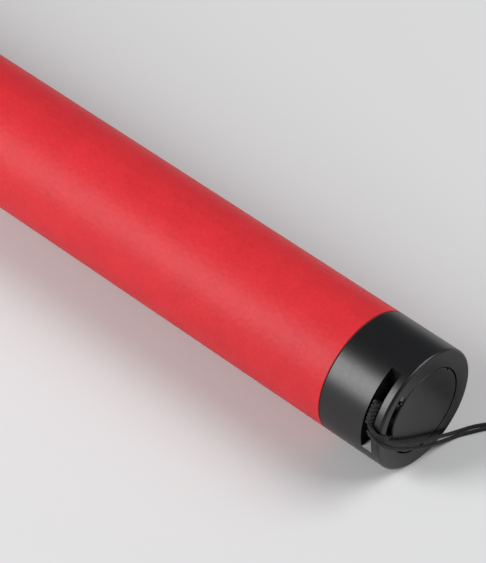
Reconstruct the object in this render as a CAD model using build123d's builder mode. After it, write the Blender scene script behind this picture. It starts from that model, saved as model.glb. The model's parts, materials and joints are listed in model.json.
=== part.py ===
from build123d import *

import os
from math import cos, pi, radians, sin, tan

# A traffic baton light. The baton lies along X on the floor (z = 0), lanyard cap at +X, torch at -X.
# x = 0 is the middle of its length and its own axis runs at height outer_r.

# ---- Driving dimensions, millimetres ----
total_length = 420.0
outer_r = 20.0
running_gap = 0.1  # radial clearance of turning fits, screwed fits and push fits
moving_gap = 0.3  # clearance between parts that pass each other

tip_cap_length = 22.6
rim_round = 0.9
seam_chamfer = 0.2
spigot_length = 12.0
seal_r = 0.75

tube_wall = 2.0
collar_length = 14.0
collar_edge = 1.2
switch_length = 38.0
grip_length = 70.0
torch_length = 38.0

end_plate_r = 14.0
end_plate_thickness = 1.6
end_plate_notch_r = 0.6
magnet_r = 10.0
magnet_thickness = 4.0

slot_angle = 27.8  # degrees above the -Y side
slot_arc_r = 32.0
slot_arc_offset = 44.4
slot_width = 3.85
bar_thickness = 2.75
bar_depth = 2.8
bar_opening_half_angle = 25.0

board_thickness = 1.6
led_board_width = 26.0
led_board_tip_gap = 12.0
led_r = 2.5
led_flange_r = 2.9
led_body_height = 6.0
led_pitch = 20.0
led_first = 35.0  # from the tube's handle end to the first light
led_last = 28.0  # at least, from the last light to the tube's cap end
resistor_length = 3.2
resistor_width = 1.6
resistor_height = 0.6
spacer_thickness = 3.0
spacer_window_r = 3.6

handle_bore_r = 14.6
grip_core_depth = 3.0  # of the handle's core under the grip, below the outer surface
grip_sleeve_depth = 0.6
grip_groove_pitch = 5.0
grip_groove_width = 1.6
grip_groove_depth = 0.8
flat_depth = 1.6  # of the switch flat and the port flat, below the outer surface
button_r = 4.2
button_proud = 1.0
button_travel = 1.2
button_flange_r = 5.3
button_flange = 1.0
button_pitch = 14.0
frame_length = 30.0
frame_width = 12.4
frame_thickness = 1.2
tact_size = 6.0
tact_body = 3.5
tact_plunger = 0.8
tact_plunger_r = 1.6
indicator_r = 1.0
screw_r = 0.9
screw_length = 3.0
screw_head_r = 1.7
screw_head = 1.1

door_length = 17.4
door_height = 11.6
door_thickness = 1.4
door_pin_r = 0.8
door_knuckle_r = 1.4
pin_seat = 1.6

battery_r = 9.2
battery_length = 65.0
cradle_wall = 1.6
cradle_end = 1.5

thread_depth = 1.6  # of the torch's thread, below the outer surface
thread_length = 8.0
torch_pitch = 1.5
torch_turns = 3.0
torch_lens_thickness = 2.0
reflector_throat_r = 3.2

cord_d = 1.15
hank_length = 23.0
hank_fold_r = 5.25  # outside the cord, at the hank's two ends
hank_waist = 4.9
hank_height = 2.5
hank_round = 0.6
tie_length = 2.2
tie_wall = 0.4
knot_r = 1.9

# ---- Stations along the baton ----
tip_end = total_length / 2
tube_length = (
    total_length - tip_cap_length - collar_length - switch_length - grip_length - torch_length
)
tube_front = tip_end - tip_cap_length
tube_back = tube_front - tube_length
collar_back = tube_back - collar_length
grip_front = collar_back - switch_length
grip_back = grip_front - grip_length
torch_end = -tip_end
switch_middle = (collar_back + grip_front) / 2
bore_r = outer_r - tube_wall
spigot_r = bore_r - running_gap
plate_back = tip_end - end_plate_thickness
bar_back = tip_end - bar_thickness
slot_back = bar_back - slot_width
axis_height = outer_r
bar_inner_r = outer_r - bar_depth
grip_core_r = outer_r - grip_core_depth
grip_sleeve_r = outer_r - grip_sleeve_depth
flat_height = outer_r - flat_depth
thread_r = outer_r - thread_depth

BATON_AXIS = Axis((0, 0, axis_height), (1, 0, 0))
PROFILE = Plane(origin=(0, 0, axis_height), x_dir=(1, 0, 0), z_dir=(0, -1, 0))


def along(x, y, z):
    """An upright plane at a point, facing along the baton, with +Y and +Z as its directions."""
    return Plane(origin=(x, y, z), x_dir=(0, 1, 0), z_dir=(1, 0, 0))


def across(x):
    """The plane across the baton at station x, centred on its axis, with +Y and +Z as its directions."""
    return along(x, 0, axis_height)


def above(x, y, z):
    """A level plane at a point."""
    return Plane(origin=(x, y, z), x_dir=(1, 0, 0), z_dir=(0, 0, 1))


def turned(*profile, mode=Mode.ADD):
    """A closed outline of (station, radius) points turned about the baton's axis."""
    with BuildSketch(PROFILE) as outline:
        with BuildLine():
            Polyline(*profile, close=True)
        make_face()
    revolve(outline.sketch, axis=BATON_AXIS, mode=mode)


def ring(start, end, large_r, small_r=0.0, mode=Mode.ADD):
    """A disc, or a tube when small_r is given, between two stations."""
    turned((start, small_r), (start, large_r), (end, large_r), (end, small_r), mode=mode)


def block(low, high, mode=Mode.ADD):
    """A box between two corners."""
    middle = [(a + b) / 2 for a, b in zip(low, high)]
    size = [b - a for a, b in zip(low, high)]
    with BuildSketch(above(middle[0], middle[1], low[2])) as base:
        Rectangle(size[0], size[1])
    extrude(base.sketch, amount=size[2], mode=mode)


def post(x, y, bottom, top, radius, mode=Mode.ADD):
    """An upright cylinder."""
    with BuildSketch(above(x, y, bottom)) as base:
        Circle(radius)
    extrude(base.sketch, amount=top - bottom, mode=mode)


def seal_ring(station, bottom_r):
    """A rubber ring of round section that lies in a groove."""
    with BuildSketch(PROFILE) as section:
        with Locations((station, bottom_r + seal_r)):
            Circle(seal_r)
    revolve(section.sketch, axis=BATON_AXIS)


def edges_at(part, station, radius):
    """The round edges of a turned part at one station and radius."""
    def fits(edge):
        middle = edge.center(CenterOf.BOUNDING_BOX)
        return (
            edge.geom_type == GeomType.CIRCLE
            and abs(middle.X - station) < 0.01
            and abs(edge.radius - radius) < 0.01
        )
    return part.edges().filter_by(fits)


def save(part, label):
    """Labels a finished piece and writes it as one STEP file."""
    part.label = label
    export_step(part, "parts/" + label + ".step")


os.makedirs("parts", exist_ok=True)

# ---- Lanyard cap ----
seal_groove_r = spigot_r - 2 * seal_r - running_gap
seal_groove_width = 2 * seal_r + 0.5
tip_seal_station = tube_front - spigot_length / 2
slot_y = -slot_arc_offset * cos(radians(slot_angle))
slot_z = slot_arc_offset * sin(radians(slot_angle))
magnet_back = plate_back - magnet_thickness
cap_floor = 1.4

with BuildPart() as tip_cap:
    ring(tube_front, tip_end, outer_r)
    ring(tube_front - spigot_length, tube_front, spigot_r)
    fillet(edges_at(tip_cap, tip_end, outer_r), rim_round)
    chamfer(edges_at(tip_cap, tube_front, outer_r), seam_chamfer)
    ring(tube_front - spigot_length, magnet_back - cap_floor, magnet_r, mode=Mode.SUBTRACT)
    ring(magnet_back, plate_back, magnet_r + running_gap, mode=Mode.SUBTRACT)
    ring(plate_back, tip_end, end_plate_r + moving_gap, mode=Mode.SUBTRACT)
    ring(
        tip_seal_station - seal_groove_width / 2,
        tip_seal_station + seal_groove_width / 2,
        outer_r,
        seal_groove_r,
        mode=Mode.SUBTRACT,
    )
    # The lanyard slot: a hollow cut across the side wall, whose floor is an arc.
    with BuildSketch(across(slot_back)) as slot_outline:
        with Locations((slot_y, slot_z)):
            Circle(slot_arc_r)
    extrude(slot_outline.sketch, amount=slot_width, mode=Mode.SUBTRACT)
    # The opening through the end face that leaves the rim standing as the lanyard bar.
    with BuildSketch(across(bar_back)) as opening:
        with BuildLine():
            CenterArc(
                (0, 0), bar_inner_r, 180 - slot_angle - bar_opening_half_angle, 2 * bar_opening_half_angle
            )
            CenterArc(
                (0, 0),
                end_plate_r + moving_gap,
                180 - slot_angle - bar_opening_half_angle,
                2 * bar_opening_half_angle,
            )
            for side in (-1, 1):
                turn = radians(180 - slot_angle + side * bar_opening_half_angle)
                Line(
                    ((end_plate_r + moving_gap) * cos(turn), (end_plate_r + moving_gap) * sin(turn)),
                    (bar_inner_r * cos(turn), bar_inner_r * sin(turn)),
                )
        make_face()
    extrude(opening.sketch, amount=bar_thickness, mode=Mode.SUBTRACT)
save(tip_cap.part, "tip_cap")

with BuildPart() as end_plate:
    ring(plate_back, tip_end, end_plate_r)
    chamfer(edges_at(end_plate, tip_end, end_plate_r), 0.3)
    with BuildSketch(across(plate_back)) as notches:
        with PolarLocations(end_plate_r, 4, start_angle=45):
            Circle(end_plate_notch_r)
    extrude(notches.sketch, amount=end_plate_thickness, mode=Mode.SUBTRACT)
save(end_plate.part, "end_plate")

with BuildPart() as tip_magnet:
    ring(magnet_back, plate_back, magnet_r)
save(tip_magnet.part, "tip_magnet")

with BuildPart() as tip_seal:
    seal_ring(tip_seal_station, spigot_r - 2 * seal_r - running_gap / 2)
save(tip_seal.part, "tip_seal")

# ---- Light tube and what it holds ----
with BuildPart() as diffuser_tube:
    ring(tube_back, tube_front, outer_r, bore_r)
    chamfer(edges_at(diffuser_tube, tube_front, outer_r), seam_chamfer)
    chamfer(edges_at(diffuser_tube, tube_back, outer_r), seam_chamfer)
save(diffuser_tube.part, "diffuser_tube")

handle_front = tube_back + spigot_length
led_board_front = tube_front - spigot_length - led_board_tip_gap / 2
led_board_back = handle_front + 2
board_top = axis_height + board_thickness / 2
board_bottom = axis_height - board_thickness / 2

with BuildPart() as led_board:
    block(
        (led_board_back, -led_board_width / 2, board_bottom),
        (led_board_front, led_board_width / 2, board_top),
    )
save(led_board.part, "led_board")

led_count = int((tube_length - led_first - led_last) // led_pitch) + 1
middle_light = led_count // 2
light_stations = [
    tube_back + led_first + led_pitch * place for place in range(led_count) if place != middle_light
]


def light_row(direction):
    """One row of dome lights standing on the board: direction 1 on its top, -1 on its underside."""
    face = axis_height + direction * board_thickness / 2
    for station in light_stations:
        stand = Plane(origin=(station, 0, face), x_dir=(0, 1, 0), z_dir=(0, 0, direction))
        with BuildSketch(stand) as foot:
            Circle(led_flange_r)
        extrude(foot.sketch, amount=1.0)
        outline_plane = Plane(origin=(station, 0, face), x_dir=(1, 0, 0), z_dir=(0, -direction, 0))
        with BuildSketch(outline_plane) as dome:
            with BuildLine():
                Polyline((0, led_body_height), (0, 0), (led_r, 0), (led_r, led_body_height))
                CenterArc((0, led_body_height), led_r, 0, 90)
                Line((0, led_body_height), (0, led_body_height + led_r))
            make_face()
        revolve(dome.sketch, axis=Axis((station, 0, face), (0, 0, direction)))


with BuildPart() as upper_leds:
    light_row(1)
save(upper_leds.part, "upper_leds")

with BuildPart() as lower_leds:
    light_row(-1)
save(lower_leds.part, "lower_leds")

resistor_offset = 7.0
with BuildPart() as led_resistors:
    for station in light_stations:
        block(
            (station - resistor_width / 2, resistor_offset, board_top),
            (station + resistor_width / 2, resistor_offset + resistor_length, board_top + resistor_height),
        )
save(led_resistors.part, "led_resistors")


def board_spacer(station):
    """A disc with four windows that holds the light board in the middle of the tube."""
    with BuildSketch(across(station)) as outline:
        Circle(bore_r - running_gap)
        Rectangle(led_board_width + 0.2, board_thickness + 0.1, mode=Mode.SUBTRACT)
        with GridLocations(2.6 * spacer_window_r, 3 * spacer_window_r, 2, 2):
            Circle(spacer_window_r, mode=Mode.SUBTRACT)
    extrude(outline.sketch, amount=spacer_thickness)


spacer_stations = {
    "tip_spacer": led_board_front - 2 * spacer_thickness,
    "middle_spacer": tube_back + led_first + led_pitch * middle_light - spacer_thickness / 2,
    "handle_spacer": led_board_back + 2 * spacer_thickness,
}
for spacer_name, station in spacer_stations.items():
    with BuildPart() as spacer:
        board_spacer(station)
    save(spacer.part, spacer_name)

# ---- Anti-roll collar ----
with BuildPart() as anti_roll_collar:
    with BuildSketch(across(collar_back)) as octagon:
        RegularPolygon(outer_r, 8, major_radius=False, rotation=22.5)
        Circle(bore_r, mode=Mode.SUBTRACT)
    extrude(octagon.sketch, amount=collar_length)
    fillet(anti_roll_collar.edges().filter_by(GeomType.LINE).filter_by(Axis.X), collar_edge)
save(anti_roll_collar.part, "anti_roll_collar")

# ---- Handle body ----
bulkhead = 3.0
lead_hole_r = 2.4
lead_height = 6.5
torch_lead_height = (battery_r + handle_bore_r) / 2 + running_gap
torch_spigot_r = handle_bore_r + 1.8
torch_spigot_length = 12.0
torch_spigot_end = grip_back - torch_spigot_length
flat_z = axis_height + flat_height
frame_z = flat_z - frame_thickness
button_stations = {
    "torch_button": switch_middle + button_pitch / 2,
    "light_button": switch_middle - button_pitch / 2,
}
button_seat_z = axis_height + handle_bore_r + 0.3
button_top_z = flat_z + button_proud
stem_bottom_z = button_seat_z - moving_gap - button_flange - 0.6
control_top_z = stem_bottom_z - button_travel - 0.05 - tact_plunger - tact_body
control_half_width = 11.0
control_length = 34.0
boss_r = 2.2
boss_x = control_length / 2 - boss_r - 0.2
boss_y = control_half_width - boss_r - 0.4
pin_y = -(flat_height - 0.1 - door_knuckle_r)
pin_z = axis_height + 6.0
recess_half = door_length / 2 + moving_gap
recess_low_z = pin_z - door_height - moving_gap
recess_high_z = pin_z + door_thickness + 0.9
door_back_y = pin_y
knuckle_room_y = pin_y + door_knuckle_r + moving_gap
socket_z = pin_z - door_height / 2 - 1.0
socket_half_width = 4.5
socket_half_height = 1.6
socket_depth = 7.4
shelf_top_z = socket_z - socket_half_height - 1.0

with BuildPart() as handle_body:
    ring(collar_back, handle_front, spigot_r)
    ring(grip_front, collar_back, outer_r)
    chamfer(edges_at(handle_body, collar_back, outer_r), seam_chamfer * 2)
    ring(grip_back, grip_front, grip_core_r)
    ring(torch_spigot_end, grip_back, torch_spigot_r)
    ring(torch_spigot_end, handle_front - bulkhead, handle_bore_r, mode=Mode.SUBTRACT)
    handle_seal_station = tube_back + spigot_length / 2
    ring(
        handle_seal_station - seal_groove_width / 2,
        handle_seal_station + seal_groove_width / 2,
        outer_r,
        seal_groove_r,
        mode=Mode.SUBTRACT,
    )
    # The lead hole in the front wall.
    with BuildSketch(across(handle_front - bulkhead)) as lead_hole:
        with Locations((0, lead_height)):
            Circle(lead_hole_r)
    extrude(lead_hole.sketch, amount=bulkhead, mode=Mode.SUBTRACT)
    # The switch flat on top and the port flat on the side.
    block((grip_front, -outer_r, flat_z), (collar_back, outer_r, flat_z + outer_r), mode=Mode.SUBTRACT)
    block((grip_front, -2 * outer_r, 0), (collar_back, -flat_height, 2 * outer_r), mode=Mode.SUBTRACT)
    # The switch frame's seat and the two button holes, each with a flat seat inside.
    block(
        (switch_middle - frame_length / 2, -frame_width / 2, frame_z),
        (switch_middle + frame_length / 2, frame_width / 2, flat_z),
        mode=Mode.SUBTRACT,
    )
    for station in button_stations.values():
        post(station, 0, axis_height, flat_z, button_r + moving_gap, mode=Mode.SUBTRACT)
        post(station, 0, axis_height, button_seat_z, button_flange_r + moving_gap, mode=Mode.SUBTRACT)
    post(switch_middle, 0, axis_height, flat_z, indicator_r + running_gap, mode=Mode.SUBTRACT)
    # Four bosses that the control board screws up against.
    for side_x in (-boss_x, boss_x):
        for side_y in (-boss_y, boss_y):
            post(switch_middle + side_x, side_y, control_top_z, axis_height + handle_bore_r, boss_r)
            post(
                switch_middle + side_x,
                side_y,
                control_top_z,
                control_top_z + screw_length + 0.2,
                screw_r,
                mode=Mode.SUBTRACT,
            )
    # The port recess, its hinge room, the pin's hole and the socket's window.
    block(
        (switch_middle - recess_half, -2 * outer_r, recess_low_z),
        (switch_middle + recess_half, door_back_y + running_gap, recess_high_z),
        mode=Mode.SUBTRACT,
    )
    block(
        (switch_middle - recess_half, -2 * outer_r, pin_z - door_knuckle_r - moving_gap),
        (switch_middle + recess_half, knuckle_room_y, recess_high_z),
        mode=Mode.SUBTRACT,
    )
    with BuildSketch(along(switch_middle - recess_half - pin_seat, pin_y, pin_z)) as pin_hole:
        Circle(door_pin_r)
    extrude(pin_hole.sketch, amount=2 * (recess_half + pin_seat), mode=Mode.SUBTRACT)
    block(
        (switch_middle - socket_half_width - 0.1, -outer_r, socket_z - socket_half_height - 0.1),
        (switch_middle + socket_half_width + 0.1, -handle_bore_r / 2, socket_z + socket_half_height + 0.1),
        mode=Mode.SUBTRACT,
    )
    # Two shelves that carry the charge board.
    for side_x in (-7.5, 7.5):
        block(
            (switch_middle + side_x - 1, -handle_bore_r + 0.9, shelf_top_z - 3),
            (switch_middle + side_x + 1, -6, shelf_top_z),
        )
save(handle_body.part, "handle_body")

with BuildPart() as tube_seal:
    seal_ring(handle_seal_station, spigot_r - 2 * seal_r - running_gap / 2)
save(tube_seal.part, "tube_seal")

sleeve_end_gap = 0.2
with BuildPart() as grip_sleeve:
    ring(grip_back + sleeve_end_gap, grip_front - sleeve_end_gap, grip_sleeve_r, grip_core_r)
    groove_count = int((grip_length - 2 * grip_groove_pitch) // grip_groove_pitch)
    groove_start = (grip_front + grip_back) / 2 - (groove_count - 1) * grip_groove_pitch / 2
    for place in range(groove_count):
        station = groove_start + place * grip_groove_pitch
        ring(
            station - grip_groove_width / 2,
            station + grip_groove_width / 2,
            outer_r,
            grip_sleeve_r - grip_groove_depth,
            mode=Mode.SUBTRACT,
        )
save(grip_sleeve.part, "grip_sleeve")

# ---- Switches ----
with BuildPart() as switch_frame:
    with BuildSketch(above(switch_middle, 0, frame_z)) as frame_outline:
        Rectangle(frame_length - 0.2, frame_width - 0.2)
        fillet(frame_outline.vertices(), 0.8)
        with GridLocations(button_pitch, 1, 2, 1):
            Circle(button_r + moving_gap, mode=Mode.SUBTRACT)
        Circle(indicator_r + running_gap, mode=Mode.SUBTRACT)
    extrude(frame_outline.sketch, amount=frame_thickness)
save(switch_frame.part, "switch_frame")

with BuildPart() as indicator_lens:
    post(switch_middle, 0, axis_height + handle_bore_r - 1, flat_z + 0.4, indicator_r)
    fillet(indicator_lens.edges().group_by(Axis.Z)[-1], 0.35)
save(indicator_lens.part, "indicator_lens")

for button_name, station in button_stations.items():
    with BuildPart() as button:
        post(station, 0, stem_bottom_z + 0.6, button_top_z, button_r)
        fillet(button.edges().group_by(Axis.Z)[-1], 0.6)
        post(station, 0, stem_bottom_z + 0.6, stem_bottom_z + 0.6 + button_flange, button_flange_r)
        post(station, 0, stem_bottom_z, stem_bottom_z + 0.6, 1.5)
        if button_name == "torch_button":
            with BuildSketch(above(station, 0, button_top_z)) as dish:
                Circle(1.6)
            extrude(dish.sketch, amount=-0.4, mode=Mode.SUBTRACT)
        else:
            post(station, 0, button_top_z, button_top_z + 0.4, 0.7)
    save(button.part, button_name)

with BuildPart() as control_board:
    block(
        (switch_middle - control_length / 2, -control_half_width, control_top_z - board_thickness),
        (switch_middle + control_length / 2, control_half_width, control_top_z),
    )
    for side_x in (-boss_x, boss_x):
        for side_y in (-boss_y, boss_y):
            post(
                switch_middle + side_x,
                side_y,
                control_top_z - board_thickness,
                control_top_z,
                screw_r + running_gap,
                mode=Mode.SUBTRACT,
            )
save(control_board.part, "control_board")

with BuildPart() as tact_switches:
    for station in button_stations.values():
        block(
            (station - tact_size / 2, -tact_size / 2, control_top_z),
            (station + tact_size / 2, tact_size / 2, control_top_z + tact_body),
        )
        post(station, 0, control_top_z + tact_body, control_top_z + tact_body + tact_plunger, tact_plunger_r)
save(tact_switches.part, "tact_switches")

with BuildPart() as board_screws:
    for side_x in (-boss_x, boss_x):
        for side_y in (-boss_y, boss_y):
            bottom = control_top_z - board_thickness
            post(switch_middle + side_x, side_y, bottom, control_top_z + screw_length, screw_r)
            post(switch_middle + side_x, side_y, bottom - screw_head, bottom, screw_head_r)
            with BuildSketch(above(switch_middle + side_x, side_y, bottom - screw_head)) as drive:
                Rectangle(2.2, 0.4)
                Rectangle(0.4, 2.2)
            extrude(drive.sketch, amount=0.6, mode=Mode.SUBTRACT)
save(board_screws.part, "board_screws")

# ---- Charging port ----
charge_board_back_y = -3.0
with BuildPart() as charge_board:
    block(
        (switch_middle - 9, -handle_bore_r + 1.2, shelf_top_z),
        (switch_middle + 9, charge_board_back_y, shelf_top_z + 1.0),
    )
save(charge_board.part, "charge_board")

with BuildPart() as usb_socket:
    socket_front_y = door_back_y + 0.4
    block(
        (switch_middle - socket_half_width, socket_front_y, socket_z - socket_half_height),
        (switch_middle + socket_half_width, socket_front_y + socket_depth, socket_z + socket_half_height),
    )
    fillet(usb_socket.edges().filter_by(Axis.Y), 1.3)
    block(
        (switch_middle - socket_half_width + 0.9, socket_front_y, socket_z - socket_half_height + 0.4),
        (switch_middle + socket_half_width - 0.9, socket_front_y + 6.0, socket_z + socket_half_height - 0.4),
        mode=Mode.SUBTRACT,
    )
    block(
        (switch_middle - 2.6, socket_front_y + 0.6, socket_z - 0.35),
        (switch_middle + 2.6, socket_front_y + 6.0, socket_z + 0.35),
    )
save(usb_socket.part, "usb_socket")

with BuildPart() as port_door:
    block(
        (switch_middle - door_length / 2, door_back_y - door_thickness, pin_z - door_height),
        (switch_middle + door_length / 2, door_back_y, pin_z),
    )
    fillet(port_door.edges().filter_by(Axis.Y).group_by(Axis.Z)[0], 1.5)
    with BuildSketch(along(switch_middle - door_length / 2, pin_y, pin_z)) as knuckle:
        Circle(door_knuckle_r)
    extrude(knuckle.sketch, amount=door_length)
    with BuildSketch(along(switch_middle - door_length / 2, pin_y, pin_z)) as door_bore:
        Circle(door_pin_r + running_gap)
    extrude(door_bore.sketch, amount=door_length, mode=Mode.SUBTRACT)
    # A finger groove near the free edge.
    block(
        (switch_middle - 4, -2 * outer_r, pin_z - door_height + 1.2),
        (switch_middle + 4, door_back_y - door_thickness + 0.5, pin_z - door_height + 2.4),
        mode=Mode.SUBTRACT,
    )
save(port_door.part, "port_door")

with BuildPart() as port_door_pin:
    with BuildSketch(along(switch_middle - recess_half - pin_seat, pin_y, pin_z)) as pin_end:
        Circle(door_pin_r)
    extrude(pin_end.sketch, amount=2 * (recess_half + pin_seat))
save(port_door_pin.part, "port_door_pin")

# ---- Battery ----
contact_thickness = 0.4
spring_room = 2.4
battery_front = grip_front - cradle_end - contact_thickness
battery_back = battery_front - battery_length
cradle_front = grip_front
cradle_back = battery_back - spring_room - contact_thickness - cradle_end
cradle_inner_r = battery_r + moving_gap
cradle_outer_r = cradle_inner_r + cradle_wall
cradle_foot_r = handle_bore_r - 0.2

with BuildPart() as battery:
    ring(battery_back, battery_front - 1.0, battery_r)
    ring(battery_front - 1.0, battery_front, 3.0)
    fillet(edges_at(battery, battery_back, battery_r), 0.6)
    fillet(edges_at(battery, battery_front - 1.0, battery_r), 0.8)
save(battery.part, "battery")

with BuildPart() as battery_cradle:
    with BuildSketch(across(cradle_back)) as trough:
        Circle(cradle_outer_r)
        Circle(cradle_inner_r, mode=Mode.SUBTRACT)
        with Locations((0, outer_r)):
            Rectangle(2 * outer_r, 2 * outer_r, mode=Mode.SUBTRACT)
    extrude(trough.sketch, amount=cradle_front - cradle_back)
    for start in (cradle_back, cradle_front - cradle_end):
        ring(start, start + cradle_end, cradle_foot_r)
        block(
            (start, -outer_r, axis_height + battery_r),
            (start + cradle_end, outer_r, 2 * outer_r),
            mode=Mode.SUBTRACT,
        )
save(battery_cradle.part, "battery_cradle")

with BuildPart() as battery_contact:
    ring(battery_front, battery_front + contact_thickness, 5.0)
save(battery_contact.part, "battery_contact")

with BuildPart() as battery_spring:
    spring_plate = cradle_back + cradle_end
    ring(spring_plate, spring_plate + contact_thickness, 5.5)
    # Two bent tongues that press on the battery's flat end.
    for side in (-1, 1):
        with BuildSketch(PROFILE.offset(-1.25)) as tongue:
            with BuildLine():
                Polyline(
                    (spring_plate + contact_thickness, side * 1.0),
                    (battery_back, side * 4.0),
                    (battery_back, side * 4.6),
                    (spring_plate + contact_thickness, side * 1.6),
                    close=True,
                )
            make_face()
        extrude(tongue.sketch, amount=2.5)
save(battery_spring.part, "battery_spring")

# ---- Torch in the handle's end ----
housing_wall_front = torch_spigot_end - 0.2
housing_wall_back = housing_wall_front - bulkhead
housing_shoulder = grip_back - 24.0
housing_end = housing_shoulder - thread_length
housing_bore_r = thread_r - 2.9
torch_optic_r = thread_r - 0.2
reflector_mouth_r = housing_bore_r - 1.5
fin_pitch = 4.0
fin_groove = 1.6
fin_depth = 1.1
fin_count = 4

with BuildPart() as torch_housing:
    ring(housing_shoulder, grip_back, outer_r)
    ring(housing_end, housing_shoulder, thread_r)
    chamfer(edges_at(torch_housing, grip_back, outer_r), 0.4)
    chamfer(edges_at(torch_housing, housing_shoulder, outer_r), 0.3)
    ring(housing_wall_front, grip_back, torch_spigot_r + running_gap, mode=Mode.SUBTRACT)
    ring(housing_end, housing_wall_back, housing_bore_r, mode=Mode.SUBTRACT)
    for place in range(fin_count):
        start = grip_back - fin_pitch - place * fin_pitch
        ring(start - fin_groove, start, outer_r + 1, outer_r - fin_depth, mode=Mode.SUBTRACT)
    with BuildSketch(across(housing_wall_back)) as lead_holes:
        with GridLocations(1, 2 * torch_lead_height, 1, 2):
            Circle(1.2)
    extrude(lead_holes.sketch, amount=bulkhead, mode=Mode.SUBTRACT)
save(torch_housing.part, "torch_housing")

emitter_board_r = 10.0
emitter_board_back = housing_wall_back - board_thickness
with BuildPart() as emitter_board:
    ring(emitter_board_back, housing_wall_back, emitter_board_r)
    with BuildSketch(across(emitter_board_back)) as board_notches:
        with PolarLocations(emitter_board_r, 6):
            Circle(1.4)
    extrude(board_notches.sketch, amount=board_thickness, mode=Mode.SUBTRACT)
save(emitter_board.part, "emitter_board")

emitter_dome_r = 2.2
emitter_base = 0.7
with BuildPart() as torch_emitter:
    block(
        (emitter_board_back - emitter_base, -2.0, axis_height - 2.0),
        (emitter_board_back, 2.0, axis_height + 2.0),
    )
    with BuildSketch(PROFILE) as emitter_dome:
        with BuildLine():
            dome_start = emitter_board_back - emitter_base
            Polyline((dome_start, emitter_dome_r), (dome_start + 0.3, emitter_dome_r), (dome_start + 0.3, 0))
            CenterArc((dome_start, 0), emitter_dome_r, 90, 90)
            Line((dome_start - emitter_dome_r, 0), (dome_start + 0.3, 0))
        make_face()
    revolve(emitter_dome.sketch, axis=BATON_AXIS)
save(torch_emitter.part, "torch_emitter")

flange_front = housing_end - 0.1
flange_back = flange_front - 1.0
lens_back = flange_back - torch_lens_thickness
lens_seal_back = lens_back - 1.0
reflector_front = emitter_board_back - emitter_base - 0.4
reflector_points = 7
reflector_wall = 1.4
reflector_length = reflector_front - flange_back


def reflector_radius(share):
    """The mirror's radius at a share of its depth: a parabola from throat to mouth."""
    square = reflector_throat_r**2 + share * (reflector_mouth_r**2 - reflector_throat_r**2)
    return square**0.5


with BuildPart() as reflector:
    mirror = [
        (reflector_front - reflector_length * share, reflector_radius(share))
        for share in (place / reflector_points for place in range(reflector_points + 1))
    ]
    mirror_back = [
        (reflector_front - reflector_length * share, reflector_radius(share) + reflector_wall)
        for share in (0.75, 0.5, 0.25, 0)
    ]
    with BuildSketch(PROFILE) as cup:
        with BuildLine():
            Spline(*mirror)
            Polyline(
                mirror[-1],
                (flange_back, torch_optic_r),
                (flange_front, torch_optic_r),
                (flange_front, housing_bore_r - moving_gap),
                (flange_front + 1.5, housing_bore_r - moving_gap),
                *mirror_back,
                mirror[0],
            )
        make_face()
    revolve(cup.sketch, axis=BATON_AXIS)
save(reflector.part, "reflector")

with BuildPart() as torch_lens:
    ring(lens_back, flange_back, torch_optic_r)
save(torch_lens.part, "torch_lens")

lens_lip_r = thread_r - 3.2
with BuildPart() as lens_seal:
    ring(lens_seal_back, lens_back, torch_optic_r, lens_lip_r)
save(lens_seal.part, "lens_seal")

bezel_flute_r = 2.0
bezel_flute_depth = 0.8
with BuildPart() as torch_bezel:
    ring(torch_end, housing_shoulder - moving_gap, outer_r)
    fillet(edges_at(torch_bezel, torch_end, outer_r), 1.0)
    chamfer(edges_at(torch_bezel, housing_shoulder - moving_gap, outer_r), 0.3)
    ring(lens_seal_back, housing_shoulder - moving_gap, thread_r + running_gap, mode=Mode.SUBTRACT)
    ring(torch_end, lens_seal_back, lens_lip_r, mode=Mode.SUBTRACT)
    chamfer(edges_at(torch_bezel, torch_end, lens_lip_r), 0.8)
    with BuildSketch(across(torch_end + 2.4)) as flutes:
        with PolarLocations(outer_r + bezel_flute_r - bezel_flute_depth, 12, start_angle=15):
            Circle(bezel_flute_r)
    extrude(flutes.sketch, amount=housing_shoulder - torch_end, mode=Mode.SUBTRACT)
save(torch_bezel.part, "torch_bezel")

# ---- Wires inside ----
wire_r = 0.5


def wire(bend_r, *points):
    """A wire along straight runs with rounded bends."""
    with BuildLine() as route:
        FilletPolyline(*points, radius=bend_r)
    first = Vector(*points[0])
    heading = Vector(*points[1]) - first
    with BuildSketch(Plane(origin=first, z_dir=heading)) as section:
        Circle(wire_r)
    sweep(section.sketch, path=route.line)


board_wire_z = control_top_z + wire_r + 0.05
with BuildPart() as led_leads:
    light_wire_z = board_top + wire_r + 0.05
    pass_z = axis_height + lead_height
    spacer_back = spacer_stations["handle_spacer"]
    for side_y in (-1.1, 1.1):
        wire(
            1.5,
            (spacer_back - 0.6, side_y, light_wire_z),
            (spacer_back - 3.4, side_y, light_wire_z),
            (handle_front + 0.4, side_y, pass_z),
            (collar_back + 4.0, side_y, pass_z),
            (collar_back + 0.5, side_y, board_wire_z),
            (switch_middle + control_length / 2 - 2.5, side_y, board_wire_z),
        )
save(led_leads.part, "led_leads")

with BuildPart() as torch_leads:
    high_z = axis_height + torch_lead_height
    for side_y in (-0.6, 0.6):
        wire(
            1.0,
            (switch_middle - control_length / 2 + 4.0, side_y, board_wire_z),
            (switch_middle - control_length / 2 + 2.4, side_y, board_wire_z),
            (grip_front + 1.0, side_y, high_z),
            (emitter_board_back - wire_r - 0.05, side_y, high_z),
            (emitter_board_back - wire_r - 0.05, side_y, axis_height + 7.0),
        )
save(torch_leads.part, "torch_leads")

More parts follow.
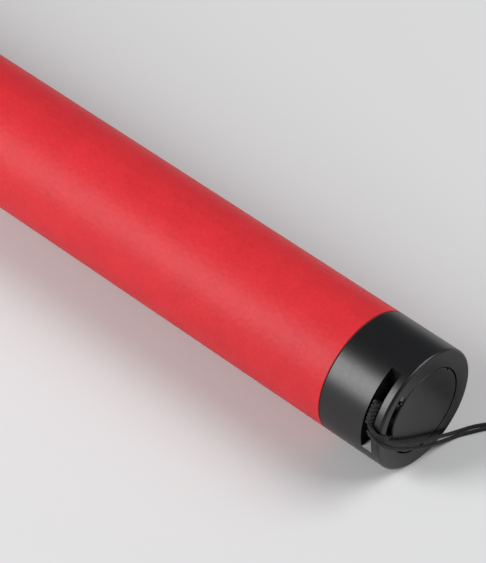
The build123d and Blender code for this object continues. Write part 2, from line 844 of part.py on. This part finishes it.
# ---- Wrist lanyard ----
# A loop of thin cord, hitched round the bar. Its two strands cross the end face, reach the floor and run
# to a small tied hank that lies on the floor beside the cap.
cord_r = cord_d / 2
hitch_angle = 11.0
hitch_gap = 0.1
hitch_half_width = cord_d + 0.05
wrap_length = bar_thickness + 2 * hitch_gap
wrap_depth = bar_depth + 2 * hitch_gap
knot_angle = 26.0
knot_centre_r = outer_r - 1.7
knot_length = 8.4
knot_height = 4.6
knot_gap = 0.25
hitch_plane = Plane(
    origin=(0, 0, axis_height),
    x_dir=(1, 0, 0),
    z_dir=(0, -sin(radians(hitch_angle)), -cos(radians(hitch_angle))),
)

with BuildPart() as lanyard_hitch:
    with BuildSketch(hitch_plane) as wraps:
        with Locations(((bar_back + tip_end) / 2, (bar_inner_r + outer_r) / 2)):
            RectangleRounded(wrap_length + 2 * cord_d, wrap_depth + 2 * cord_d, 1.3)
            Rectangle(wrap_length, wrap_depth, mode=Mode.SUBTRACT)
    extrude(wraps.sketch, amount=hitch_half_width, both=True)
    # The knotted part that sits in the slot behind the bar.
    with BuildSketch(across(slot_back + knot_gap)) as knotted:
        with Locations((-knot_centre_r * cos(radians(knot_angle)), knot_centre_r * sin(radians(knot_angle)))):
            SlotOverall(knot_length, knot_height, rotation=90 - knot_angle)
    extrude(knotted.sketch, amount=slot_width - 2 * knot_gap)
save(lanyard_hitch.part, "lanyard_hitch")

face_clear = tip_end + 1.4
hank_front = tip_end + 12.3
hank_y = outer_r + 7.6
hank_floor = tie_wall
floor_run = cord_r + 0.03


def by_bar(x, angle, lift):
    """A point beside the bar, at an angle above the -Y side and a height above the outer surface."""
    radius = outer_r + lift
    return (x, -radius * cos(radians(angle)), axis_height + radius * sin(radians(angle)))


def by_face(y_share, z_share):
    """A point before the end face, at shares of the baton's radius from its middle plane and the floor."""
    return (face_clear, y_share * outer_r, z_share * outer_r)


strand_a_route = [
    by_bar(tip_end - 3.7, 17.39, 0.75),
    by_bar(tip_end - 1.1, 14.95, 1.32),
    by_bar(tip_end + 1.2, 12.35, 0.58),
    by_face(-0.86, 1.04),
    by_face(-0.62, 0.835),
    by_face(-0.33, 0.63),
    by_face(-0.02, 0.44),
    by_face(0.28, 0.275),
    by_face(0.55, 0.13),
    (tip_end + 1.8, outer_r - 4.4, 0.8),
    (tip_end + 3.4, outer_r - 0.4, floor_run),
    (tip_end + 6.6, hank_y - 3.5, floor_run),
    (tip_end + 9.8, hank_y - 0.4, 1.0),
    (hank_front, hank_y + 0.8, 1.6),
]
strand_b_route = [
    by_bar(tip_end - 3.7, 13.3, 0.86),
    by_bar(tip_end - 1.1, 11.31, 1.42),
    by_bar(tip_end + 1.2, 8.79, 0.95),
    by_face(-0.90, 0.97),
    by_face(-0.66, 0.75),
    by_face(-0.37, 0.535),
    by_face(-0.08, 0.34),
    by_face(0.22, 0.18),
    (tip_end + 1.5, outer_r - 10.4, 1.2),
    (tip_end + 2.4, outer_r - 6.2, floor_run),
    (tip_end + 4.6, outer_r - 2.2, floor_run),
    (tip_end + 7.4, hank_y - 5.2, floor_run),
    (tip_end + 10.2, hank_y - 2.0, 1.0),
    (hank_front, hank_y - 0.8, 1.6),
]


def bend_radii(route):
    """The largest arc at each point of a route: 0.45 of the shorter run over the tangent of half the turn."""
    points = [Vector(*point) for point in route]
    radii = []
    for before, here, after in zip(points, points[1:], points[2:]):
        turn = radians((here - before).get_angle(after - here))
        shorter = min((here - before).length, (after - here).length)
        radii.append(0.45 * shorter / tan(turn / 2))
    return radii


def cord_tube(route, label):
    """A round cord along straight runs joined by tangent arcs."""
    radii = bend_radii(route)
    with BuildPart() as tube:
        with BuildLine() as path:
            FilletPolyline(*route, radius=radii)
        with BuildSketch(Plane(origin=route[0], z_dir=path.line % 0)) as section:
            Circle(cord_r)
        sweep(section.sketch, path=path.line)
    length = sum(edge.length for edge in path.line.edges())
    share = tube.part.volume / (pi * cord_r**2 * length)
    print(label, "length", round(length, 1), "volume over section x length", round(share, 4))
    print("  arc radii", [round(radius, 1) for radius in radii])
    save(tube.part, label)
    return length


strand_lengths = [
    cord_tube(strand_a_route, "lanyard_strand_a"),
    cord_tube(strand_b_route, "lanyard_strand_b"),
]
print("lanyard strands together", round(sum(strand_lengths), 1), "mm")

# The hank's outline from above, at its near half: half widths at distances from its near end.
waist_start = (hank_length - tie_length) / 2
hank_outline = [
    (0, 0.45 * hank_fold_r),
    (0.3 * hank_fold_r, 0.84 * hank_fold_r),
    (0.85 * hank_fold_r, hank_fold_r),
    (1.25 * hank_fold_r, 0.92 * hank_fold_r),
    (waist_start, hank_waist / 2),
]
near_side = [(hank_front + x, hank_y - y) for x, y in hank_outline]
far_side = [(hank_front + hank_length - x, hank_y - y) for x, y in reversed(hank_outline)]
other_side = [(x, 2 * hank_y - y) for x, y in reversed(near_side + far_side)]

with BuildPart() as lanyard_hank:
    with BuildSketch(above(0, 0, hank_floor)) as hank_face:
        with BuildLine():
            Polyline(*near_side, *far_side, *other_side, close=True)
        make_face()
    extrude(hank_face.sketch, amount=hank_height)
save(lanyard_hank.part, "lanyard_hank")

with BuildPart() as lanyard_tie:
    with BuildSketch(along(hank_front + waist_start, hank_y, hank_floor + hank_height / 2)) as band:
        RectangleRounded(hank_waist + 2 * tie_wall, hank_height + 2 * tie_wall, hank_round)
        Rectangle(hank_waist, hank_height, mode=Mode.SUBTRACT)
    extrude(band.sketch, amount=tie_length)
save(lanyard_tie.part, "lanyard_tie")

with BuildPart() as lanyard_knot:
    with BuildSketch(along(hank_front + hank_length, hank_y, knot_r)) as knot_end:
        Circle(knot_r)
    extrude(knot_end.sketch, amount=1.6 * knot_r)
    fillet(lanyard_knot.edges().filter_by(GeomType.CIRCLE), 0.8)
save(lanyard_knot.part, "lanyard_knot")

print("torch unscrews", torch_turns, "turns and", torch_turns * torch_pitch, "mm")
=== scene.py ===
import json
from math import cos, pi, radians, sin, tan

import bpy
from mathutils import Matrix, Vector


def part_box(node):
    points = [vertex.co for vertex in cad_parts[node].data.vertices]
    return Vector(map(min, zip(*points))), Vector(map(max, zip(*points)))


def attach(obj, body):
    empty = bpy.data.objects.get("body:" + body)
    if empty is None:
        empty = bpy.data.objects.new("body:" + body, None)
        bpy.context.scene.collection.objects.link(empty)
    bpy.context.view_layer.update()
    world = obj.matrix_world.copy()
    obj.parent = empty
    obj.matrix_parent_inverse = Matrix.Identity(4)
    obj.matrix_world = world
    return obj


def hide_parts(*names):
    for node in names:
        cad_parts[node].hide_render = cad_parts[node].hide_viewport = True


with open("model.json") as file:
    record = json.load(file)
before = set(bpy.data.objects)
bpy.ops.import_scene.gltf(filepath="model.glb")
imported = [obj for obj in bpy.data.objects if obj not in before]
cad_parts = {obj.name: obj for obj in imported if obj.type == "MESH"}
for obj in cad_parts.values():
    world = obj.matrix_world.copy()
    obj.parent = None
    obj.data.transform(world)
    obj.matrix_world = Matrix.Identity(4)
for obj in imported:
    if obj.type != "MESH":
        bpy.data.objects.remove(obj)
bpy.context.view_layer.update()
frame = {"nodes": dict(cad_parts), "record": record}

MM = 0.001

# ---- Places, from the frame ----
tube_low, tube_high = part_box("diffuser_tube")
hank_low, hank_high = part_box("lanyard_hank")
tube_r = (tube_high.y - tube_low.y) / 2
axis_z = (tube_high.z + tube_low.z) / 2
tip_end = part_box("tip_cap")[1].x
rim_round = 0.9 * MM


def on_baton(x, angle, radius):
    """A point beside the baton's axis: angle 0 is the -Y side and 90 degrees the top."""
    return Vector((x, -radius * cos(angle), axis_z + radius * sin(angle)))


# ---- Camera: 43 degrees to the side of the cap's slot, 44 degrees above ----
camera_azimuth = radians(43.22)
camera_elevation = radians(44.5)
rim_centre = Vector((tip_end - rim_round, 0, axis_z))
camera_offset = Vector((0.40095, -0.50156, 0.68019))
camera_data = bpy.data.cameras.new("camera")
camera_data.sensor_width = 36.0
camera_data.lens = 208.2
camera = bpy.data.objects.new("camera", camera_data)
camera.location = rim_centre + camera_offset
camera.rotation_euler = (pi / 2 - camera_elevation, 0, camera_azimuth)
camera_data.clip_start = 0.01
camera_data.clip_end = 20.0
bpy.context.scene.collection.objects.link(camera)
bpy.context.scene.camera = camera


# ---- Materials ----
class Surface:
    """A procedural material under construction: its shader, and the nodes that feed it."""

    def __init__(self, name, colour, roughness, **sockets):
        self.material = bpy.data.materials.new(name)
        self.material.use_nodes = True
        self.nodes = self.material.node_tree.nodes
        self.links = self.material.node_tree.links
        self.shader = self.nodes["Principled BSDF"]
        self.set("Base Color", (*colour, 1.0))
        self.set("Roughness", roughness)
        for label, value in sockets.items():
            self.set(label.replace("_", " "), value)
        self.place = self.nodes.new("ShaderNodeTexCoord").outputs["Object"]

    def set(self, label, value):
        self.shader.inputs[label].default_value = value

    def feed(self, label, socket):
        self.links.new(socket, self.shader.inputs[label])

    def stretched(self, scale):
        """The object's own coordinates, scaled along each axis."""
        mapping = self.nodes.new("ShaderNodeMapping")
        mapping.inputs["Scale"].default_value = scale
        self.links.new(self.place, mapping.inputs["Vector"])
        return mapping.outputs["Vector"]

    def noise(self, size, detail=2.0, rough=0.5, place=None):
        """Noise whose blotches are about size metres across."""
        node = self.nodes.new("ShaderNodeTexNoise")
        node.inputs["Scale"].default_value = 1 / size
        node.inputs["Detail"].default_value = detail
        node.inputs["Roughness"].default_value = rough
        self.links.new(place or self.place, node.inputs["Vector"])
        return node.outputs["Fac"]

    def cells(self, size):
        """Rounded cells about size metres across, as in a leather grain."""
        node = self.nodes.new("ShaderNodeTexVoronoi")
        node.feature = "SMOOTH_F1"
        node.inputs["Scale"].default_value = 1 / size
        self.links.new(self.place, node.inputs["Vector"])
        return node.outputs["Distance"]

    def wave(self, size, distortion):
        """Wavering bands across X, for a size in metres."""
        node = self.nodes.new("ShaderNodeTexWave")
        node.inputs["Scale"].default_value = 1 / size
        node.inputs["Distortion"].default_value = distortion
        self.links.new(self.place, node.inputs["Vector"])
        return node.outputs["Fac"]

    def remap(self, socket, low, high, start=0.0, end=1.0):
        """The value that runs from low to high as the socket runs from start to end."""
        node = self.nodes.new("ShaderNodeMapRange")
        node.inputs["From Min"].default_value = start
        node.inputs["From Max"].default_value = end
        node.inputs["To Min"].default_value = low
        node.inputs["To Max"].default_value = high
        self.links.new(socket, node.inputs["Value"])
        return node.outputs["Result"]

    def maths(self, operation, first, second):
        """A sum, product or other operation on two sockets or numbers."""
        node = self.nodes.new("ShaderNodeMath")
        node.operation = operation
        for value, socket in zip((first, second), node.inputs):
            if isinstance(value, (int, float)):
                socket.default_value = value
            else:
                self.links.new(value, socket)
        return node.outputs["Value"]

    def mix(self, factor, first, second):
        """The colour between two colours by a factor."""
        node = self.nodes.new("ShaderNodeMix")
        node.data_type = "RGBA"
        self.links.new(factor, node.inputs["Factor"])
        for value, socket in zip((first, second), (node.inputs[6], node.inputs[7])):
            if isinstance(value, tuple):
                socket.default_value = (*value, 1.0)
            else:
                self.links.new(value, socket)
        return node.outputs[2]

    def bump(self, height, strength, depth, under=None):
        node = self.nodes.new("ShaderNodeBump")
        node.inputs["Strength"].default_value = strength
        node.inputs["Distance"].default_value = depth
        self.links.new(height, node.inputs["Height"])
        if under:
            self.links.new(under, node.inputs["Normal"])
        return node.outputs["Normal"]


def shade(colour, factor):
    return tuple(min(1.0, channel * factor) for channel in colour)


def grained(name, colour, dark, light, roughness, spread, grain, depth, seam=None, **sockets):
    """Moulded plastic with a fine leather grain: blotchy colour, uneven gloss and rounded grain bumps.

    The seam is two places along X between which the colour darkens: painted shade, standing in for the
    shadow in the gap where the red tube meets the cap."""
    made = Surface(name, colour, roughness, **sockets)
    blotches = made.noise(9 * MM, detail=4.0)
    fine = made.noise(grain * 0.6, detail=3.0, rough=0.6)
    tone = made.remap(made.maths("ADD", blotches, fine), 0.0, 1.0, 0.7, 1.3)
    mixed = made.mix(tone, shade(colour, dark), shade(colour, light))
    made.feed("Base Color", mixed)
    made.feed("Roughness", made.remap(fine, roughness - spread, roughness + spread, 0.3, 0.7))
    # Painted shade: towards the tube's end the colour darkens to 0.3 of itself, for the shadow in the gap at
    # the join.
    if seam:
        split = made.nodes.new("ShaderNodeSeparateXYZ")
        made.links.new(made.place, split.inputs["Vector"])
        seam_shade = made.remap(split.outputs["X"], 0.0, 1.0, *seam)
        made.feed("Base Color", made.mix(seam_shade, mixed, shade(colour, 0.3)))
    pebbles = made.bump(made.cells(grain), 0.5, depth)
    made.feed("Normal", made.bump(fine, 0.35, depth * 0.6, pebbles))
    return made.material


def rubber(name, colour, roughness=0.72):
    made = Surface(name, colour, roughness, Specular_IOR_Level=0.35)
    dust = made.noise(4 * MM, detail=5.0, rough=0.65)
    made.feed("Base Color", made.mix(dust, shade(colour, 0.8), shade(colour, 1.5)))
    made.feed("Roughness", made.remap(dust, roughness - 0.08, roughness + 0.08))
    made.feed("Normal", made.bump(made.noise(0.25 * MM, detail=3.0), 0.4, 0.05 * MM))
    return made.material


def metal(name, colour, roughness, brushed=True):
    made = Surface(name, colour, roughness, Metallic=1.0)
    if brushed:
        lines = made.noise(0.3 * MM, detail=3.0, place=made.stretched((1.0, 0.08, 0.08)))
    else:
        lines = made.noise(MM)
    made.feed("Base Color", made.mix(lines, shade(colour, 0.86), shade(colour, 1.06)))
    made.feed("Roughness", made.remap(lines, roughness - 0.06, roughness + 0.08))
    made.feed("Normal", made.bump(lines, 0.12, 0.03 * MM))
    return made.material


def anodised(name, colour):
    made = Surface(name, colour, 0.42, Metallic=0.6, Specular_IOR_Level=0.6)
    lines = made.noise(0.25 * MM, detail=3.0, place=made.stretched((1.0, 0.1, 0.1)))
    made.feed("Base Color", made.mix(lines, shade(colour, 0.75), shade(colour, 1.35)))
    made.feed("Roughness", made.remap(lines, 0.34, 0.5))
    made.feed("Normal", made.bump(lines, 0.15, 0.03 * MM))
    return made.material


def clear_plastic(name, colour):
    made = Surface(name, colour, 0.06, Transmission_Weight=0.95, IOR=1.49)
    haze = made.noise(6 * MM, detail=4.0)
    made.feed("Roughness", made.remap(haze, 0.03, 0.12))
    made.feed("Base Color", made.mix(haze, shade(colour, 0.94), colour))
    made.feed("Normal", made.bump(made.noise(3 * MM), 0.05, 0.02 * MM))
    return made.material


def board(name, colour):
    """A solder-masked circuit board with faint tracks under its mask."""
    made = Surface(name, colour, 0.3, Coat_Weight=0.4, Coat_Roughness=0.15)
    tracks = made.remap(made.wave(2.2 * MM, 3.0), 0.0, 1.0, 0.55, 0.7)
    made.feed("Base Color", made.mix(tracks, colour, shade(colour, 1.6)))
    made.feed("Roughness", made.remap(made.noise(MM), 0.25, 0.38))
    made.feed("Normal", made.bump(tracks, 0.3, 0.03 * MM))
    return made.material


def smooth_plastic(name, colour, roughness, **sockets):
    made = Surface(name, colour, roughness, **sockets)
    blotches = made.noise(3 * MM, detail=4.0)
    made.feed("Base Color", made.mix(blotches, shade(colour, 0.92), shade(colour, 1.06)))
    made.feed("Roughness", made.remap(blotches, roughness - 0.05, roughness + 0.07))
    made.feed("Normal", made.bump(made.noise(0.5 * MM), 0.1, 0.02 * MM))
    return made.material


def braid(name, colour, turns, lift):
    """Braided cord: two sets of yarns that cross, from the cord's own length and round directions."""
    made = Surface(name, colour, 0.7, Specular_IOR_Level=0.3, Sheen_Weight=0.12, Sheen_Roughness=0.4)
    place = made.nodes.new("ShaderNodeTexCoord").outputs["UV"]
    split = made.nodes.new("ShaderNodeSeparateXYZ")
    made.links.new(place, split.inputs["Vector"])
    along = made.maths("MULTIPLY", split.outputs["X"], turns)
    around = made.maths("MULTIPLY", split.outputs["Y"], 4.0)
    yarns = []
    for operation in ("ADD", "SUBTRACT"):
        phase = made.maths("MULTIPLY", made.maths(operation, along, around), 2 * pi)
        yarns.append(made.maths("SINE", phase, 0.0))
    weave = made.remap(made.maths("MAXIMUM", *yarns), 0.0, 1.0, -0.2, 1.0)
    # Painted shade and highlight: the colour darkens in the grooves between the yarns and lightens on their
    # crowns, following the weave's bump height.
    made.feed("Base Color", made.mix(weave, shade(colour, 0.35), shade(colour, 1.5)))
    fuzz = made.noise(0.12 * MM, detail=3.0)
    made.feed("Roughness", made.remap(fuzz, 0.62, 0.82))
    made.feed("Normal", made.bump(fuzz, 0.35, 0.03 * MM, made.bump(weave, 0.8, lift)))
    return made.material


RED = (0.575, 0.023, 0.031)
CAP_BLACK = (0.004, 0.004, 0.0044)
HANDLE_BLACK = (0.014, 0.014, 0.015)
surfaces = {
    "red_diffuser": grained(
        "red_diffuser",
        RED,
        0.9,
        1.06,
        0.5,
        0.06,
        1.6 * MM,
        0.2 * MM,
        # Painted shade over the last half millimetre of the red tube before the cap.
        seam=(tube_high.x - 0.5 * MM, tube_high.x - 0.25 * MM),
        Specular_IOR_Level=0.19,
    ),
    "cap_plastic": grained(
        "cap_plastic",
        CAP_BLACK,
        0.8,
        1.25,
        0.36,
        0.03,
        0.9 * MM,
        0.005 * MM,
        Specular_IOR_Level=0.46,
    ),
    "black_plastic": grained(
        "black_plastic",
        HANDLE_BLACK,
        0.8,
        1.25,
        0.42,
        0.05,
        0.6 * MM,
        0.03 * MM,
        Specular_IOR_Level=0.6,
    ),
    "white_plastic": smooth_plastic("white_plastic", (0.78, 0.78, 0.75), 0.45),
    "black_rubber": rubber("black_rubber", (0.013, 0.013, 0.013)),
    "red_button": rubber("red_button", (0.45, 0.02, 0.02), 0.6),
    "dark_aluminium": anodised("dark_aluminium", (0.03, 0.03, 0.033)),
    "nickel": metal("nickel", (0.62, 0.6, 0.56), 0.3),
    "magnet_nickel": metal("magnet_nickel", (0.6, 0.6, 0.6), 0.22),
    "circuit_green": board("circuit_green", (0.01, 0.12, 0.04)),
    "white_board": smooth_plastic("white_board", (0.78, 0.78, 0.76), 0.5),
    "led_red": smooth_plastic("led_red", (0.6, 0.03, 0.02), 0.12, Transmission_Weight=0.4),
    "led_yellow": smooth_plastic("led_yellow", (0.85, 0.68, 0.1), 0.25),
    "clear_lens": clear_plastic("clear_lens", (0.93, 0.95, 0.96)),
    "mirror_cup": metal("mirror_cup", (0.9, 0.9, 0.9), 0.09, brushed=False),
    "battery_wrap": smooth_plastic("battery_wrap", (0.03, 0.16, 0.42), 0.25),
    "resistor_black": smooth_plastic("resistor_black", (0.015, 0.015, 0.015), 0.5),
    "wire_cover": smooth_plastic("wire_cover", (0.4, 0.02, 0.02), 0.4),
    "cord_fabric": braid("cord_fabric", (0.009, 0.009, 0.0095), 260.0, 0.04 * MM),
}
node_slots = {part["node"]: part["material_slot"] for part in frame["record"]["subparts"]}
for name, node in frame["nodes"].items():
    node.data.materials.clear()
    node.data.materials.append(surfaces[node_slots[name]])

# ---- The wrist cord ----
# The strands' middles run face_clear millimetres off the end face, and lie at the height lie on the floor.
cord_d = 1.15 * MM
face_clear = 1.4
hank_front = (hank_low.x - tip_end) / MM
hank_y = (hank_low.y + hank_high.y) / 2 / MM
hank_length = (hank_high.x - hank_low.x) / MM
lie = 0.61

# Millimetres: past the cap's end, across, above the floor.
strand_a = [
    (-3.7, -19.8, 26.2),
    (-1.1, -20.6, 25.5),
    (1.2, -20.1, 24.4),
    (face_clear, -17.2, 20.8),
    (face_clear, -12.4, 16.7),
    (face_clear, -6.6, 12.6),
    (face_clear, -0.4, 8.8),
    (face_clear, 5.6, 5.5),
    (face_clear, 11.0, 2.6),
    (1.8, 15.6, 0.8),
    (3.4, 19.6, lie),
    (6.6, 24.1, lie),
    (9.8, 27.2, 1.0),
]
strand_b = [
    (-3.7, -20.3, 24.8),
    (-1.1, -21.0, 24.2),
    (1.2, -20.7, 23.2),
    (face_clear, -18.0, 19.4),
    (face_clear, -13.2, 15.0),
    (face_clear, -7.4, 10.7),
    (face_clear, -1.6, 6.8),
    (face_clear, 4.4, 3.6),
    (1.5, 9.6, 1.2),
    (2.4, 13.8, lie),
    (4.6, 17.8, lie),
    (6.9, 22.0, lie),
    (9.6, 24.9, 0.9),
]

# The hank: each layer has an outer and an inner turn, gathered at the waist by the tie. Distances are
# in millimetres from the hank's middle. A fold's arc runs past a half circle, because its two runs draw
# together at the waist.
outer_y = 4.65
inner_y = 3.2
outer_waist = 1.85
inner_waist = 0.64
waist_reach = 1.35
fold_x = hank_length / 2 - cord_d / 2 / MM - outer_y
near_fold_x = fold_x + 1.0
low_layer = 0.66
high_layer = 1.88
waist_lift = 0.33


def fold(end, centre_x, y_from, y_to, z_from, z_to, lean, eased=False):
    """Control points round one end of the hank: end is 1 at its far end and -1 at its near one.

    The arc goes on by lean degrees past a half circle, and eased adds a straight lead at both its ends."""
    side = 1 if y_from > y_to else -1
    radius = abs(y_from - y_to) / 2
    middle_y = (y_from + y_to) / 2
    corners = 8
    first = pi / 2 + radians(lean)
    turn = 2 * first / corners
    reach = radius * tan(turn / 2)
    steps = [(first - (place + 0.5) * turn, radius / cos(turn / 2), 0.0) for place in range(corners)]
    if eased:
        steps = [(first, radius, reach), *steps, (-first, radius, -reach)]
    points = []
    for place, (angle, distance, back) in enumerate(steps):
        x = centre_x + distance * cos(angle) - back * sin(angle)
        y = distance * sin(angle) + back * cos(angle)
        rise = (z_to - z_from) * (place + 0.5) / len(steps)
        points.append((end * x, middle_y + side * y, z_from + rise))
    return points


def waist(direction, y, z):
    """The two points where a run passes the tie, towards the far end when direction is 1."""
    return [(-direction * waist_reach, y, z + waist_lift), (direction * waist_reach, y, z + waist_lift)]


turns = [
    (-(fold_x + 4.4), 3.1, low_layer + 0.1),
    (-(fold_x + 1.4), 4.85, low_layer),
    (-(fold_x - 2.0), 4.5, low_layer),
    *waist(1, outer_waist, low_layer),
    *fold(1, fold_x, outer_y, -outer_y, low_layer, low_layer, 37),
    *waist(-1, -outer_waist, low_layer),
    *fold(-1, near_fold_x, -outer_y, inner_y, low_layer, low_layer, 38),
    *waist(1, inner_waist, low_layer),
    *fold(1, fold_x, inner_y, -inner_y, low_layer, low_layer, 29, eased=True),
    *waist(-1, -inner_waist, low_layer),
    *fold(-1, fold_x - 0.1, -inner_y, inner_y, low_layer, high_layer, 29, eased=True),
    *waist(1, inner_waist, high_layer),
    *fold(1, fold_x, inner_y, -inner_y, high_layer, high_layer, 29, eased=True),
    *waist(-1, -inner_waist, high_layer),
    *fold(-1, near_fold_x, -inner_y, outer_y, high_layer, high_layer, 38),
    *waist(1, outer_waist, high_layer),
    *fold(1, fold_x, outer_y, -outer_y, high_layer, high_layer, 37),
    *waist(-1, -outer_waist, high_layer),
    (-(fold_x - 2.0), -4.5, high_layer),
    (-(fold_x + 1.4), -4.65, high_layer),
    (-(fold_x + 4.8), -3.8, high_layer - 0.3),
]
hank_middle = hank_front + hank_length / 2
hank = [(hank_middle + x, hank_y + y, z) for x, y, z in turns]
route = [*strand_a, *hank, *reversed(strand_b)]


def cord_curve(name, *strands, cyclic=False):
    """Round cord along smooth splines: each strand is one spline's control points."""
    data = bpy.data.curves.new(name, "CURVE")
    data.dimensions = "3D"
    data.bevel_depth = cord_d / 2
    data.bevel_resolution = 4
    data.resolution_u = 8
    data.use_fill_caps = True
    for points in strands:
        spline = data.splines.new("NURBS")
        spline.points.add(len(points) - 1)
        for point, place in zip(spline.points, points):
            point.co = (*place, 1.0)
        spline.order_u = 3
        spline.use_endpoint_u = not cyclic
        spline.use_cyclic_u = cyclic
    made = bpy.data.objects.new(name, data)
    bpy.context.scene.collection.objects.link(made)
    made.data.materials.append(surfaces["cord_fabric"])
    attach(made, "root")
    return made


def in_frame(points):
    return [Vector((tip_end + x * MM, y * MM, z * MM)) for x, y, z in points]


lanyard = cord_curve("wrist_cord", in_frame(route))
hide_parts("lanyard_strand_a", "lanyard_strand_b", "lanyard_hank")

# The hitch: two wraps round the bar under the strands, and the knot that fills the slot behind them.
bar_back = -2.75
bar_in = tube_r / MM - 2.8
bar_out = tube_r / MM
# Distance past the end, distance from the axis, and how far towards the outside angle.
wrap_outline = [
    (bar_back - 0.15, bar_out + 0.72, 1.0),
    (-0.35, bar_out + 0.68, 0.95),
    (0.68, bar_out - 0.35, 0.8),
    (0.72, bar_in - 0.15, 0.2),
    (0.15, bar_in - 0.72, 0.0),
    (bar_back - 0.15, bar_in - 0.72, 0.1),
    (bar_back - 0.72, bar_in - 0.15, 0.3),
    (bar_back - 0.72, bar_out + 0.15, 0.9),
]
# Each wrap's angles round the baton, outside the bar and inside it, in degrees.
wrap_spans = ((13.8, 4.6), (10.2, 0.9))
wraps = [
    [
        on_baton(tip_end + x * MM, radians(inside + share * (outside - inside)), r * MM)
        for x, r, share in wrap_outline
    ]
    for outside, inside in wrap_spans
]
hitch_wraps = cord_curve("hitch_wraps", *wraps, cyclic=True)
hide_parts("lanyard_hitch")

# The knot's turns go up the slot. Its foot, rise and sway are degrees round the baton, the rest millimetres.
knot_turns = 6
turn_points = 8
knot_steps = knot_turns * turn_points
knot_foot = 15.5
knot_rise = 22.5
knot_middle_x = -4.68
knot_middle_r = 18.7
knot_half_width = 1.2
knot_sway = 1.2
knot_half_depth = 1.38
knot_swell = 0.12
knot_points = []
for place in range(knot_steps + 1):
    share = place / knot_steps
    turn = 2 * pi * place / turn_points
    swell = 1.0 + knot_swell * sin(pi * share)
    angle = radians(knot_foot + knot_rise * share + knot_sway * sin(turn))
    radius = knot_middle_r + knot_half_depth * swell * cos(turn)
    x = knot_middle_x + knot_half_width * sin(turn)
    knot_points.append(on_baton(tip_end + x * MM, angle, radius * MM))
hitch_knot = cord_curve("hitch_knot", knot_points)

# The knot that joins the cord's two ends, at the far end of the hank.
end_low, end_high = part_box("lanyard_knot")
end_middle = (end_low + end_high) / 2
end_steps = 26
end_ring_r = 0.82
end_loop_r = 0.42
end_half_length = 0.9
end_points = []
for place in range(end_steps):
    turn = 2 * pi * place / end_steps
    ring_r = end_ring_r + end_loop_r * cos(3 * turn)
    loop = Vector((end_half_length * sin(3 * turn), ring_r * cos(2 * turn), ring_r * sin(2 * turn)))
    end_points.append(end_middle + loop * MM)
end_knot = cord_curve("end_knot", end_points, cyclic=True)
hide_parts("lanyard_knot")

# ---- Floor and lights ----
bpy.ops.mesh.primitive_plane_add(size=8.0)
floor = bpy.context.object
floor.name = "floor"
floor_surface = Surface("floor", (0.62, 0.62, 0.62), 0.8, Specular_IOR_Level=0.2)
floor_tone = floor_surface.noise(0.35, detail=3.0)
floor_surface.feed("Base Color", floor_surface.mix(floor_tone, (0.6, 0.6, 0.6), (0.64, 0.64, 0.64)))
floor.data.materials.append(floor_surface.material)


def softbox(name, towards, distance, width, height, power, aim):
    """A soft rectangular light that faces a point from a direction."""
    data = bpy.data.lights.new(name, "AREA")
    data.shape = "RECTANGLE"
    data.size = width
    data.size_y = height
    data.energy = power
    light = bpy.data.objects.new(name, data)
    light.location = aim + Vector(towards).normalized() * distance
    light.rotation_mode = "QUATERNION"
    light.rotation_quaternion = Vector(towards).to_track_quat("Z", "Y")
    bpy.context.scene.collection.objects.link(light)


lamp_aim = Vector((tip_end - 0.1, 0, axis_z))
softbox("side_softbox", (-0.45, -0.745, 0.5), 1.3, 0.52, 0.95, 19.0, lamp_aim)
softbox("fill_softbox", (0.5, 0.45, 0.75), 1.6, 1.2, 0.9, 21.0, lamp_aim)

world = bpy.data.worlds.new("studio")
world.use_nodes = True
world.node_tree.nodes["Background"].inputs["Color"].default_value = (0.9, 0.93, 1.0, 1.0)
world.node_tree.nodes["Background"].inputs["Strength"].default_value = 0.16
bpy.context.scene.world = world
bpy.context.scene.view_settings.view_transform = "Standard"
